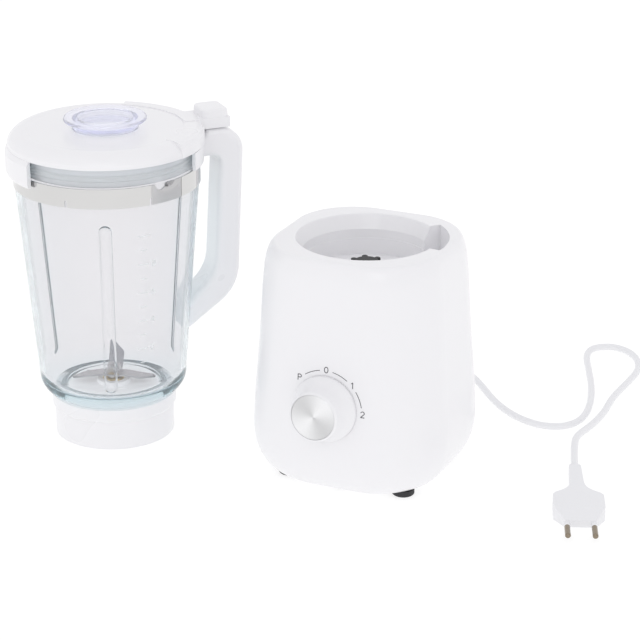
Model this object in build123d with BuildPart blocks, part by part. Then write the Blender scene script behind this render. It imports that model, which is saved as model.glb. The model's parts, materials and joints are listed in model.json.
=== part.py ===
from build123d import *
import os
from math import atan, cos, degrees, pi, radians, sin, sqrt, tan

# Countertop blender, millimetres, +Z up. The origin is on the worktop, at the middle of the box
# round the motor base and the jar, which stands beside the base at its left. The knob faces -Y.

# ---------------------------------------------------------------- driving dimensions
BASE_X, BASE_Y = 98.0, 10.0  # vertical axis of the motor base
JAR_X, JAR_Y = -100.8, -3.4  # vertical axis of the jar
HANDLE_TURN = 47.3  # direction of the jar's handle, degrees from +X
RIB_TURN = -62.8  # direction of the first of the three ribs in the glass

# motor base: outer skin
FOOT_HEIGHT = 4.5
COVER_TOP = 7.1  # seam between bottom cover and housing
BASE_TOP = 175.4
HALF_LOW, HALF_TOP = 75.0, 64.1  # half width of the skin, before its edges are rounded
CORNER_LOW, CORNER_TOP = 51.9, 45.0
LOW_ROUND_IN, LOW_ROUND_UP = 24.0, 38.9  # elliptical rounding at the bottom
TOP_ROUND_IN, TOP_ROUND_UP = 5.5, 18.3  # elliptical rounding at the top
WALL = 2.6
DECK_THICK = 3.0
FLANGE_HALF, FLANGE_CORNER = 40.0, 27.0  # opening that the bottom cover closes
FOOT_PLACE = (44.0, 34.0)
FOOT_R = 8.0
COVER_SCREW = 45.0  # circle of the cover's screws

# seat for the jar
SEAT_R, SEAT_LOW_R = 45.3, 44.8  # guiding land, and the wall below it
SEAT_FLOOR, LAND_LOW, LAND_TOP = 146.0, 158.3, 165.0
MOUTH_R = 50.0  # where the flare above the land meets the top
SEAT_WALL = 3.0
POCKET_TURN, POCKET_HALF, POCKET_R = 21.0, 28.0, 58.0  # recess beside the seat, for the safety slider

# motor
SHAFT_R = 4.0
CORE_LOW, CORE_TOP = 66.0, 100.0
ROTOR_R, POLE_R = 18.4, 19.0
STATOR_WIDE, STATOR_DEEP = 62.0, 54.0
POST_X, POST_Y = 26.0, 21.0  # legs between the two motor brackets
MOUNT_X, MOUNT_Y = 31.0, 31.0  # rubber mounts that hang the motor
BEARING_GAP = 0.05

# knob and switch
KNOB_Z = 72.0
KNOB_R, KNOB_FACE_R, KNOB_DEEP = 23.6, 17.6, 21.0
DISC_R = 16.2

# jar
COLLAR_R, COLLAR_RIM_R, COLLAR_HIGH = 44.2, 46.0, 32.5
NECK_R, NECK_BORE_R = 40.6, 35.2
GLASS_LOW, GLASS_TOP = 24.0, 226.5
GLASS_CORNER_R, GLASS_CORNER_Z = 54.4, 47.0
GLASS_RIM_R, GLASS_WALL = 66.8, 4.0
BAND_LOW, BAND_TOP, BAND_R = 194.1, 208.4, 67.8
SADDLE_LOW, SADDLE_TOP = 209.0, 222.0
HANDLE_IN, HANDLE_OUT, HANDLE_WIDE = 83.2, 102.4, 26.0
LID_R, LID_LOW, LID_TOP = 70.5, 223.0, 234.0
CAP_R, CAP_FLANGE_R, CAP_TOP = 23.6, 30.0, 242.2
BLADE_SHAFT_R = 3.0

# power cord
CORD_R = 2.6
CORD_EXIT_X, CORD_EXIT_Z = 76.0, 26.0  # where the cord leaves the rear wall
RELIEF_LONG = 30.0
PLUG_HALF, PLUG_THICK, PLUG_LONG = 17.75, 11.0, 90.0
PIN_R, PIN_LONG, PIN_PITCH = 2.0, 19.0, 18.6
SLEEVE_LONG = 5.0  # insulating sleeve at the root of each pin

BASE_AXIS = Axis((BASE_X, BASE_Y, 0), (0, 0, 1))
JAR_AXIS = Axis((JAR_X, JAR_Y, 0), (0, 0, 1))

os.makedirs("parts", exist_ok=True)


# ---------------------------------------------------------------- helpers
def finish(piece, node):
    """Label a finished piece and write it as one STEP file."""
    piece.label = node
    export_step(piece, f"parts/{node}.step")


def at_base(z=0.0, turn=0.0):
    """Horizontal plane on the base axis; its x axis is turned by turn degrees."""
    way = (cos(radians(turn)), sin(radians(turn)), 0)
    return Plane(origin=(BASE_X, BASE_Y, z), x_dir=way, z_dir=(0, 0, 1))


def at_jar(z=0.0, turn=HANDLE_TURN):
    """Horizontal plane on the jar axis; its x axis points at the handle unless turned."""
    way = (cos(radians(turn)), sin(radians(turn)), 0)
    return Plane(origin=(JAR_X, JAR_Y, z), x_dir=way, z_dir=(0, 0, 1))


def upright(x, y, turn=0.0):
    """Vertical plane through an axis: local x runs outward at turn degrees, local y runs up."""
    way = (cos(radians(turn)), sin(radians(turn)), 0)
    side = (sin(radians(turn)), -cos(radians(turn)), 0)
    return Plane(origin=(x, y, 0), x_dir=way, z_dir=side)


def turned(outline, x, y, axis, start=0.0, arc=360.0):
    """Solid of revolution round a vertical axis from (radius, height) points."""
    with BuildPart() as piece:
        with BuildSketch(upright(x, y, start)):
            with BuildLine():
                Polyline(*outline, close=True)
            make_face()
        revolve(axis=axis, revolution_arc=arc)
    return piece.part


def base_turned(outline, start=0.0, arc=360.0):
    return turned(outline, BASE_X, BASE_Y, BASE_AXIS, start, arc)


def jar_turned(outline, start=0.0, arc=360.0):
    return turned(outline, JAR_X, JAR_Y, JAR_AXIS, start, arc)


def tube_outline(r_in, r_out, low, top):
    return [(r_in, low), (r_out, low), (r_out, top), (r_in, top)]


def rims(piece, radius):
    """The round edges of a piece that have the given radius."""
    return piece.edges().filter_by(GeomType.CIRCLE).filter_by(lambda e: abs(e.radius - radius) < 0.05)


# ---------------------------------------------------------------- outer skin of the base
def skin_half(z, wall=0.0):
    """Half width and corner radius of the skin at height z, moved in by wall."""
    rise = (z - FOOT_HEIGHT) / (BASE_TOP - FOOT_HEIGHT)
    half = HALF_LOW + (HALF_TOP - HALF_LOW) * rise
    corner = CORNER_LOW + (CORNER_TOP - CORNER_LOW) * rise
    inset = 0.0
    low_end = FOOT_HEIGHT + LOW_ROUND_UP
    if z < low_end:
        part_way = min(1.0, (low_end - z) / (LOW_ROUND_UP - wall))
        inset = (LOW_ROUND_IN - wall) * (1 - sqrt(1 - part_way**2))
    top_start = BASE_TOP - TOP_ROUND_UP
    if z > top_start:
        part_way = min(1.0, (z - top_start) / TOP_ROUND_UP)
        inset = TOP_ROUND_IN * (1 - sqrt(1 - part_way**2))
    return half - inset - wall, corner - 0.6 * inset - wall


def skin_block(levels, wall=0.0):
    """Loft of rounded squares that follows the skin through the given heights."""
    with BuildPart() as block:
        for z in levels:
            half, corner = skin_half(z, wall)
            with BuildSketch(at_base(z)):
                RectangleRounded(2 * half, 2 * half, corner)
        loft()
    return block.part


def rounded_levels(low, top, wall=0.0):
    """Heights for a skin loft, closer together where the skin curves."""
    low_end = FOOT_HEIGHT + LOW_ROUND_UP
    top_start = BASE_TOP - TOP_ROUND_UP
    curve = [low + (low_end - low) * (1 - cos(radians(a))) for a in (0, 18, 36, 54, 72, 90)]
    straight = [top_start - 55.0, top_start]
    crown = [top_start + (top - top_start) * sin(radians(a)) for a in (30, 55, 75, 90)]
    return curve + straight + crown


outer_skin = skin_block(rounded_levels(FOOT_HEIGHT, BASE_TOP))
inner_skin = skin_block(rounded_levels(COVER_TOP + WALL, BASE_TOP - DECK_THICK, WALL), WALL)

FRONT_LEAN = degrees(atan((HALF_LOW - HALF_TOP) / (BASE_TOP - FOOT_HEIGHT)))
KNOB_WALL = skin_half(KNOB_Z)[0]
knob_out = (0, -cos(radians(FRONT_LEAN)), sin(radians(FRONT_LEAN)))


def at_knob(out=0.0):
    """Plane parallel to the front wall on the knob's axis, out mm in front of the skin."""
    place = (BASE_X, BASE_Y - KNOB_WALL + out * knob_out[1], KNOB_Z + out * knob_out[2])
    return Plane(origin=place, x_dir=(1, 0, 0), z_dir=knob_out)


# ---------------------------------------------------------------- housing
SLIDER_LIP_R = 49.5
SWITCH_HOLE_R = 5.2
GLAND_HOLE_R = 5.0
POST_LOW = 126.0
rear_wall = skin_half(CORD_EXIT_Z)[0]
rear_plane = Plane(origin=(CORD_EXIT_X, BASE_Y + rear_wall, CORD_EXIT_Z), x_dir=(-1, 0, 0),
                   z_dir=(0, 1, 0))

with BuildPart() as housing:
    add(outer_skin)
    split(bisect_by=Plane.XY.offset(COVER_TOP), keep=Keep.TOP)
    add(inner_skin, mode=Mode.SUBTRACT)
    # opening inside the turned-in flange
    with BuildSketch(at_base(COVER_TOP)):
        RectangleRounded(2 * FLANGE_HALF, 2 * FLANGE_HALF, FLANGE_CORNER)
    extrude(amount=2 * WALL, mode=Mode.SUBTRACT)
    # seat cup hanging from the deck, wider where its mouth flares
    cup_outline = [(0, SEAT_FLOOR - SEAT_WALL), (SEAT_R + SEAT_WALL, SEAT_FLOOR - SEAT_WALL),
                   (SEAT_R + SEAT_WALL, LAND_TOP), (MOUTH_R + SEAT_WALL, BASE_TOP - DECK_THICK / 2),
                   (0, BASE_TOP - DECK_THICK / 2)]
    add(base_turned(cup_outline))
    # pocket of the safety slider, a sector that widens the cup
    pocket_wall = tube_outline(SEAT_R, POCKET_R + SEAT_WALL, SEAT_FLOOR - SEAT_WALL,
                               BASE_TOP - DECK_THICK / 2)
    add(base_turned(pocket_wall, POCKET_TURN - POCKET_HALF - 3.5, 2 * POCKET_HALF + 7))
    seat_outline = [(0, SEAT_FLOOR), (SEAT_LOW_R, SEAT_FLOOR), (SEAT_LOW_R, LAND_LOW), (SEAT_R, LAND_LOW),
                    (SEAT_R, LAND_TOP), (MOUTH_R, BASE_TOP), (MOUTH_R, BASE_TOP + 1), (0, BASE_TOP + 1)]
    add(base_turned(seat_outline), mode=Mode.SUBTRACT)
    pocket_hollow = tube_outline(SEAT_R - 3, POCKET_R, SEAT_FLOOR, BASE_TOP + 1)
    add(base_turned(pocket_hollow, POCKET_TURN - POCKET_HALF, 2 * POCKET_HALF), mode=Mode.SUBTRACT)
    # rounded lip of the seat
    lip = rims(housing, MOUTH_R).filter_by(lambda e: abs(e.center().Z - BASE_TOP) < 0.1)
    fillet(lip, 1.2)
    # hole for the drive shaft
    with Locations(at_base(SEAT_FLOOR)):
        Hole(10.5, depth=2 * SEAT_WALL)
    # slot in the seat floor that the slider sinks into
    with BuildSketch(at_base(SEAT_FLOOR - SEAT_WALL, POCKET_TURN)):
        with Locations((SLIDER_LIP_R, 0)):
            Rectangle(14.6, 8.6)
    extrude(amount=2 * SEAT_WALL, mode=Mode.SUBTRACT)
    # posts that carry the motor's rubber mounts
    with BuildSketch(at_base(POST_LOW)):
        with GridLocations(2 * MOUNT_X, 2 * MOUNT_Y, 2, 2):
            Circle(5.0)
    extrude(amount=SEAT_FLOOR - SEAT_WALL - POST_LOW + 0.5)
    with BuildSketch(at_base(POST_LOW)):
        with GridLocations(2 * MOUNT_X, 2 * MOUNT_Y, 2, 2):
            Circle(1.7)
    extrude(amount=12, mode=Mode.SUBTRACT)
    # screw bosses on the flange
    with BuildSketch(at_base(COVER_TOP + WALL - 0.5)):
        with PolarLocations(COVER_SCREW, 4):
            Circle(4.2)
    extrude(amount=12)
    with BuildSketch(at_base(COVER_TOP)):
        with PolarLocations(COVER_SCREW, 4):
            Circle(1.7)
    extrude(amount=13, mode=Mode.SUBTRACT)
    # holes for the switch bush and the cord gland
    with BuildSketch(at_knob(2)):
        Circle(SWITCH_HOLE_R)
    extrude(amount=-9, mode=Mode.SUBTRACT)
    with BuildSketch(rear_plane.offset(8)):
        Circle(GLAND_HOLE_R)
    extrude(amount=-24, mode=Mode.SUBTRACT)
finish(housing.part, "housing")

# ---------------------------------------------------------------- bottom cover
VENT_COUNT = 9
with BuildPart() as bottom_cover:
    add(outer_skin)
    split(bisect_by=Plane.XY.offset(COVER_TOP), keep=Keep.BOTTOM)
    # air slots under the fan
    with BuildSketch(at_base(FOOT_HEIGHT)):
        with GridLocations(6.0, 1, VENT_COUNT, 1):
            SlotOverall(34, 3.0, rotation=90)
    extrude(amount=WALL * 2, mode=Mode.SUBTRACT)
    with BuildSketch(at_base(FOOT_HEIGHT)):
        with PolarLocations(COVER_SCREW, 4):
            Circle(2.0)
        with GridLocations(2 * FOOT_PLACE[0] - 8, 2 * FOOT_PLACE[1] - 8, 2, 2):
            Circle(2.5)
    extrude(amount=WALL * 2, mode=Mode.SUBTRACT)
    # sockets for the screw heads
    with BuildSketch(at_base(FOOT_HEIGHT)):
        with PolarLocations(COVER_SCREW, 4):
            Circle(3.6)
    extrude(amount=1.4, mode=Mode.SUBTRACT)
finish(bottom_cover.part, "bottom_cover")

# ---------------------------------------------------------------- feet, one node each
for side_x, x_name in ((-1, "left"), (1, "right")):
    for side_y, y_name in ((-1, "front"), (1, "rear")):
        foot_x = BASE_X + side_x * FOOT_PLACE[0]
        foot_y = BASE_Y + side_y * FOOT_PLACE[1]
        stem_x = BASE_X + side_x * (FOOT_PLACE[0] - 4)
        stem_y = BASE_Y + side_y * (FOOT_PLACE[1] - 4)
        with BuildPart() as foot:
            with BuildSketch(Plane((foot_x, foot_y, 0))):
                Circle(FOOT_R)
            extrude(amount=FOOT_HEIGHT)
            chamfer(foot.faces().sort_by(Axis.Z)[0].edges(), 0.8)
            with BuildSketch(Plane((stem_x, stem_y, FOOT_HEIGHT))):
                Circle(2.5)
            extrude(amount=COVER_TOP - FOOT_HEIGHT)
        finish(foot.part, f"foot_{y_name}_{x_name}")

# ---------------------------------------------------------------- cover screws
with BuildPart() as cover_screws:
    with BuildSketch(at_base(FOOT_HEIGHT + 0.3)):
        with PolarLocations(COVER_SCREW, 4):
            Circle(3.4)
    extrude(amount=1.1)
    with BuildSketch(at_base(FOOT_HEIGHT + 1.4)):
        with PolarLocations(COVER_SCREW, 4):
            Circle(1.7)
    extrude(amount=12)
    with BuildSketch(at_base(FOOT_HEIGHT + 0.3)):
        with PolarLocations(COVER_SCREW, 4):
            Rectangle(3.6, 0.8)
            Rectangle(0.8, 3.6)
    extrude(amount=0.6, mode=Mode.SUBTRACT)
finish(cover_screws.part, "cover_screws")

# ---------------------------------------------------------------- motor: shaft, rotor, commutator
SHAFT_LOW, SHAFT_TOP = 20.0, 152.0
COMM_LOW, COMM_TOP, COMM_R = 46.0, 58.0, 10.0
with BuildPart() as motor_shaft:
    with BuildSketch(at_base(SHAFT_LOW)):
        Circle(SHAFT_R)
    extrude(amount=SHAFT_TOP - SHAFT_LOW)
    chamfer(motor_shaft.edges().group_by(Axis.Z)[0], 0.6)
    chamfer(motor_shaft.edges().group_by(Axis.Z)[-1], 0.6)
finish(motor_shaft.part, "motor_shaft")

ROTOR_SLOTS = 12
with BuildPart() as rotor_core:
    with BuildSketch(at_base(CORE_LOW)):
        Circle(ROTOR_R)
        Circle(SHAFT_R, mode=Mode.SUBTRACT)
        with PolarLocations(ROTOR_R - 3.5, ROTOR_SLOTS):
            SlotOverall(6.0, 2.6, mode=Mode.SUBTRACT)
        with PolarLocations(ROTOR_R, ROTOR_SLOTS):
            Rectangle(3, 1.4, mode=Mode.SUBTRACT)
    extrude(amount=CORE_TOP - CORE_LOW)
finish(rotor_core.part, "rotor_core")

with BuildPart() as rotor_windings:
    for low, top in ((COMM_TOP, CORE_LOW), (CORE_TOP, CORE_TOP + 7)):
        add(base_turned([(SHAFT_R, low), (12, low), (15.5, low + 2), (15.5, top - 2), (12, top),
                         (SHAFT_R, top)]))
finish(rotor_windings.part, "rotor_windings")

with BuildPart() as commutator:
    with BuildSketch(at_base(COMM_LOW)):
        Circle(COMM_R)
        Circle(SHAFT_R, mode=Mode.SUBTRACT)
        with PolarLocations(COMM_R, 2 * ROTOR_SLOTS):
            Rectangle(2.4, 0.5, mode=Mode.SUBTRACT)
    extrude(amount=COMM_TOP - COMM_LOW)
finish(commutator.part, "commutator")

# ---------------------------------------------------------------- motor: stator
WINDOW_X, WINDOW_WIDE, WINDOW_LONG = 20.5, 10.0, 32.0
with BuildPart() as stator_core:
    with BuildSketch(at_base(CORE_LOW)):
        RectangleRounded(STATOR_WIDE, STATOR_DEEP, 10)
        Circle(POLE_R, mode=Mode.SUBTRACT)
        # winding windows at the left and right of the poles
        with Locations((-WINDOW_X, 0), (WINDOW_X, 0)):
            Rectangle(WINDOW_WIDE, WINDOW_LONG, mode=Mode.SUBTRACT)
    extrude(amount=CORE_TOP - CORE_LOW)
finish(stator_core.part, "stator_core")

with BuildPart() as stator_coils:
    # a coil round each pole, front and rear, seen as bundles above and below the core
    for side in (-1, 1):
        with BuildSketch(at_base(CORE_TOP)):
            with Locations((0, side * 20.0)):
                RectangleRounded(42, 7, 3)
        extrude(amount=6)
        with BuildSketch(at_base(CORE_LOW)):
            with Locations((0, side * 20.0)):
                RectangleRounded(42, 7, 3)
        extrude(amount=-6)
    for side_x in (-1, 1):
        for side_y in (-1, 1):
            with BuildSketch(at_base(CORE_LOW - 6)):
                with Locations((side_x * 21.0, side_y * 14.0)):
                    Rectangle(6.0, 7.0)
            extrude(amount=CORE_TOP - CORE_LOW + 12)
    # keep the bundles out of the steel
    with BuildSketch(at_base(CORE_LOW)):
        RectangleRounded(STATOR_WIDE, STATOR_DEEP, 10)
        with Locations((-WINDOW_X, 0), (WINDOW_X, 0)):
            Rectangle(WINDOW_WIDE, WINDOW_LONG, mode=Mode.SUBTRACT)
    extrude(amount=CORE_TOP - CORE_LOW, mode=Mode.SUBTRACT)
    with BuildSketch(at_base(CORE_LOW - 7)):
        Circle(POLE_R)
    extrude(amount=CORE_TOP - CORE_LOW + 14, mode=Mode.SUBTRACT)
finish(stator_coils.part, "stator_coils")

# ---------------------------------------------------------------- motor: brackets and bearings
BEARING_R, BEARING_HIGH = 8.0, 9.0
UPPER_PLATE, LOWER_PLATE, PLATE_THICK = 118.0, 36.0, 3.0


def bracket(plate_low, leg_low, leg_top, hub_low, reach):
    """Cast plate with a bearing hub and four legs that clamp the stator."""
    with BuildPart() as cast:
        with BuildSketch(at_base(plate_low)):
            RectangleRounded(2 * reach, 2 * reach, 8)
            if reach > POST_X + 6:
                with Locations((0, reach + 2), (0, -reach - 2), (reach + 2, 0), (-reach - 2, 0)):
                    Circle(16, mode=Mode.SUBTRACT)
        extrude(amount=PLATE_THICK)
        with BuildSketch(at_base(hub_low)):
            Circle(BEARING_R + 3)
        extrude(amount=BEARING_HIGH + 1)
        with BuildSketch(at_base(leg_low)):
            with GridLocations(2 * POST_X, 2 * POST_Y, 2, 2):
                Circle(3.6)
        extrude(amount=leg_top - leg_low)
        with BuildSketch(at_base(hub_low)):
            Circle(BEARING_R)
        extrude(amount=BEARING_HIGH + 1, mode=Mode.SUBTRACT)
    return cast.part


with BuildPart() as upper_bracket:
    add(bracket(UPPER_PLATE, CORE_TOP, UPPER_PLATE + 1, UPPER_PLATE - 7, MOUNT_X + 6))
    with BuildSketch(at_base(UPPER_PLATE)):
        with GridLocations(2 * MOUNT_X, 2 * MOUNT_Y, 2, 2):
            Circle(2.1)
    extrude(amount=PLATE_THICK, mode=Mode.SUBTRACT)
finish(upper_bracket.part, "upper_bracket")
finish(bracket(LOWER_PLATE, LOWER_PLATE + 1, CORE_LOW, LOWER_PLATE - 3, POST_X + 5), "lower_bracket")

for node, low in (("upper_bearing", UPPER_PLATE - 6.5), ("lower_bearing", LOWER_PLATE - 2.5)):
    with BuildPart() as bearing:
        with BuildSketch(at_base(low)):
            Circle(BEARING_R)
            Circle(SHAFT_R + BEARING_GAP, mode=Mode.SUBTRACT)
        extrude(amount=BEARING_HIGH)
        chamfer(rims(bearing, BEARING_R), 0.5)
    finish(bearing.part, node)

# ---------------------------------------------------------------- motor: brushes
BRUSH_Z = 52.0


def at_brush(side, out):
    """Upright plane facing away from the commutator, out mm from its surface."""
    place = (BASE_X + side * (COMM_R + out), BASE_Y, BRUSH_Z)
    return Plane(origin=place, x_dir=(0, 1, 0), z_dir=(side, 0, 0))


with BuildPart() as brush_holders:
    for side in (-1, 1):
        with BuildSketch(at_brush(side, 1.5)):
            Rectangle(9.0, 11.0)
            Rectangle(6.0, 8.0, mode=Mode.SUBTRACT)
        extrude(amount=14)
        # foot that stands on the lower bracket
        with BuildSketch(Plane((BASE_X + side * 20, BASE_Y, LOWER_PLATE + PLATE_THICK))):
            Rectangle(9, 9)
        extrude(amount=BRUSH_Z - 5.5 - LOWER_PLATE - PLATE_THICK)
finish(brush_holders.part, "brush_holders")

with BuildPart() as carbon_brushes:
    for side in (-1, 1):
        with BuildSketch(at_brush(side, 0.4)):
            Rectangle(6.0, 8.0)
        extrude(amount=12)
finish(carbon_brushes.part, "carbon_brushes")

# ---------------------------------------------------------------- motor: fan
FAN_LOW, FAN_HIGH, FAN_R, FAN_BLADES = 21.0, 10.0, 33.0, 9
with BuildPart() as cooling_fan:
    with BuildSketch(at_base(FAN_LOW)):
        Circle(FAN_R)
    extrude(amount=1.6)
    with BuildSketch(at_base(FAN_LOW)):
        Circle(SHAFT_R + 4)
        with PolarLocations(20.5, FAN_BLADES):
            Rectangle(25.0, 1.6, rotation=24)
    extrude(amount=FAN_HIGH)
    with BuildSketch(at_base(FAN_LOW)):
        Circle(SHAFT_R)
    extrude(amount=FAN_HIGH, mode=Mode.SUBTRACT)
finish(cooling_fan.part, "cooling_fan")

# ---------------------------------------------------------------- motor: mounts and drive coupler
DAMPER_LOW = UPPER_PLATE + PLATE_THICK
with BuildPart() as motor_dampers:
    with BuildSketch(at_base(DAMPER_LOW)):
        with GridLocations(2 * MOUNT_X, 2 * MOUNT_Y, 2, 2):
            Circle(5.5)
            Circle(1.7, mode=Mode.SUBTRACT)
    extrude(amount=POST_LOW - DAMPER_LOW)
finish(motor_dampers.part, "motor_dampers")

with BuildPart() as motor_screws:
    with BuildSketch(at_base(UPPER_PLATE - 2.4)):
        with GridLocations(2 * MOUNT_X, 2 * MOUNT_Y, 2, 2):
            Circle(3.6)
    extrude(amount=2.4)
    with BuildSketch(at_base(UPPER_PLATE)):
        with GridLocations(2 * MOUNT_X, 2 * MOUNT_Y, 2, 2):
            Circle(1.7)
    extrude(amount=POST_LOW + 11 - UPPER_PLATE)
finish(motor_screws.part, "motor_screws")

finish(base_turned([(SHAFT_R + 0.6, 140), (9, 140), (9, 143), (10.5, 143), (10.5, 146), (13, 146),
                    (13, 147.2), (SHAFT_R + 0.6, 147.2)]), "shaft_seal")

COUPLER_LOW, COUPLER_TOP, COUPLER_TEETH = 147.5, 157.5, 6
COUPLER_DISC = 2.0
with BuildPart() as drive_coupler:
    with BuildSketch(at_base(COUPLER_LOW)):
        Circle(14.0)
    extrude(amount=COUPLER_DISC)
    with BuildSketch(at_base(COUPLER_LOW + COUPLER_DISC)):
        Circle(8.6)
        with PolarLocations(9.6, COUPLER_TEETH):
            Circle(2.2)
    extrude(amount=COUPLER_TOP - COUPLER_LOW - COUPLER_DISC)
    fillet(drive_coupler.faces().sort_by(Axis.Z)[-1].edges(), 0.7)
    with BuildSketch(at_base(COUPLER_LOW)):
        Circle(SHAFT_R)
    extrude(amount=SHAFT_TOP - COUPLER_LOW, mode=Mode.SUBTRACT)
finish(drive_coupler.part, "drive_coupler")

# ---------------------------------------------------------------- rotary switch and knob
SWITCH_SHAFT_R = 3.0
inner_face = -WALL - 0.2
with BuildPart() as rotary_switch:
    with BuildSketch(at_knob(inner_face - 14)):
        RectangleRounded(26, 24, 3)
    extrude(amount=14)
    with BuildSketch(at_knob(inner_face)):
        Circle(SWITCH_HOLE_R - 0.2)
    extrude(amount=5.2)
    with BuildSketch(at_knob(inner_face - 10)):
        Circle(SWITCH_SHAFT_R + BEARING_GAP)
    extrude(amount=16, mode=Mode.SUBTRACT)
    # terminals at the back
    with BuildSketch(at_knob(inner_face - 14)):
        with GridLocations(6, 9, 3, 2):
            Rectangle(3.0, 0.8)
    extrude(amount=-6)
finish(rotary_switch.part, "rotary_switch")

with BuildPart() as switch_shaft:
    with BuildSketch(at_knob(inner_face - 9.7)):
        Circle(SWITCH_SHAFT_R)
    extrude(amount=9.7 + WALL + 0.2 + 14)
    # flat that keeps the knob from turning on it
    with BuildSketch(at_knob(5)):
        with Locations((0, 3.1)):
            Rectangle(8, 1.8)
    extrude(amount=12, mode=Mode.SUBTRACT)
finish(switch_shaft.part, "switch_shaft")

KNOB_GAP = 0.6
SKIRT = 2.2
with BuildPart() as knob:
    knob_section = Plane(origin=at_knob().origin, x_dir=(1, 0, 0), z_dir=at_knob().y_dir * -1)
    with BuildSketch(knob_section):
        with BuildLine():
            Polyline((0, KNOB_GAP), (KNOB_R, KNOB_GAP), (KNOB_R, KNOB_GAP + SKIRT))
            Spline(
                (KNOB_R, KNOB_GAP + SKIRT),
                (KNOB_R - 3.6, KNOB_GAP + 8.0),
                (KNOB_FACE_R, KNOB_DEEP - 1.5),
                tangents=((-0.7, 1), (-0.12, 1)),
            )
            Polyline((KNOB_FACE_R, KNOB_DEEP - 1.5), (KNOB_FACE_R - 1.0, KNOB_DEEP),
                     (DISC_R + 0.1, KNOB_DEEP))
            Polyline((DISC_R + 0.1, KNOB_DEEP), (DISC_R + 0.1, KNOB_DEEP - 2.4), (0, KNOB_DEEP - 2.4),
                     (0, KNOB_GAP))
        make_face()
    revolve(axis=Axis(at_knob().origin, knob_out))
    # hollow behind, with a boss for the shaft
    with BuildSketch(at_knob(KNOB_GAP)):
        Circle(15.0)
        Circle(6.0, mode=Mode.SUBTRACT)
    extrude(amount=KNOB_DEEP - 2.4 - KNOB_GAP - 2.2, mode=Mode.SUBTRACT)
    # the boss starts in front of the switch bush
    with BuildSketch(at_knob(KNOB_GAP)):
        Circle(6.5)
    extrude(amount=2.6, mode=Mode.SUBTRACT)
    with BuildSketch(at_knob(KNOB_GAP)):
        Circle(SWITCH_SHAFT_R)
    extrude(amount=14 - KNOB_GAP, mode=Mode.SUBTRACT)
    # the bore's flat
    with BuildSketch(at_knob(5)):
        with Locations((0, 2.9)):
            Rectangle(4.4, 1.4)
    extrude(amount=9)
finish(knob.part, "knob")

with BuildPart() as knob_disc:
    with BuildSketch(knob_section):
        with BuildLine():
            Polyline(
                (0, KNOB_DEEP - 2.4), (DISC_R, KNOB_DEEP - 2.4), (DISC_R, KNOB_DEEP - 0.2),
                (DISC_R - 0.4, KNOB_DEEP + 0.1), (0, KNOB_DEEP - 0.7), close=True,
            )
        make_face()
    revolve(axis=Axis(at_knob().origin, knob_out))
finish(knob_disc.part, "knob_disc")

# ---------------------------------------------------------------- safety slider under the jar's rim
SLIDER_TRAVEL = 3.0
SLIDER_TOP = SEAT_FLOOR + SLIDER_TRAVEL + 0.2
SLIDER_R, SLIDER_LOW = 52.5, 128.0
with BuildPart() as interlock_slider:
    with BuildSketch(at_base(SLIDER_TOP - 2.6, POCKET_TURN)):
        with Locations((SLIDER_LIP_R, 0)):
            RectangleRounded(14.0, 8.0, 1.5)
    extrude(amount=2.6)
    with BuildSketch(at_base(SLIDER_LOW, POCKET_TURN)):
        with Locations((SLIDER_R, 0)):
            Rectangle(4.0, 8.0)
    extrude(amount=SLIDER_TOP - SLIDER_LOW)
finish(interlock_slider.part, "interlock_slider")

CAGE_LOW, CAGE_FLOOR, CAGE_R = 100.0, 104.0, 53.5
SPRING_LOW = 115.0
with BuildPart() as microswitch:
    with BuildSketch(at_base(CAGE_FLOOR, POCKET_TURN)):
        with Locations((CAGE_R, 5.2)):
            Rectangle(6.4, 8.8)
    extrude(amount=17)
    # button under the slider's foot
    with BuildSketch(at_base(CAGE_FLOOR + 17, POCKET_TURN)):
        with Locations((CAGE_R, 2.5)):
            Rectangle(2.4, 2.0)
    extrude(amount=SLIDER_LOW - SLIDER_TRAVEL - 0.2 - CAGE_FLOOR - 17)
finish(microswitch.part, "microswitch")

# cage that holds the switch and the spring under the seat, screwed to the seat's underside
with BuildPart() as interlock_cage:
    with BuildSketch(at_base(CAGE_LOW, POCKET_TURN)):
        with Locations((CAGE_R, 0)):
            Rectangle(10.4, 26)
    extrude(amount=SEAT_FLOOR - SEAT_WALL - CAGE_LOW)
    with BuildSketch(at_base(CAGE_FLOOR, POCKET_TURN)):
        with Locations((CAGE_R, 5.2)):
            Rectangle(6.4, 8.8)
    extrude(amount=60, mode=Mode.SUBTRACT)
    # the spring's side starts higher
    with BuildSketch(at_base(SPRING_LOW, POCKET_TURN)):
        with Locations((CAGE_R, 0)):
            Rectangle(6.8, 19.2)
    extrude(amount=60, mode=Mode.SUBTRACT)
finish(interlock_cage.part, "interlock_cage")

SPRING_R, WIRE_R = 2.0, 0.4
with BuildPart() as interlock_spring:
    centre = at_base(SPRING_LOW, POCKET_TURN).from_local_coords((SLIDER_R, -2.6, WIRE_R))
    with BuildLine():
        Helix(pitch=2.0, height=SLIDER_LOW - SPRING_LOW - 2 * WIRE_R, radius=SPRING_R, center=centre)
    with BuildSketch(Plane(origin=centre + Vector(SPRING_R, 0, 0), x_dir=(1, 0, 0), z_dir=(0, 1, 0))):
        Circle(WIRE_R)
    sweep(is_frenet=True)
finish(interlock_spring.part, "interlock_spring")

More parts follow.
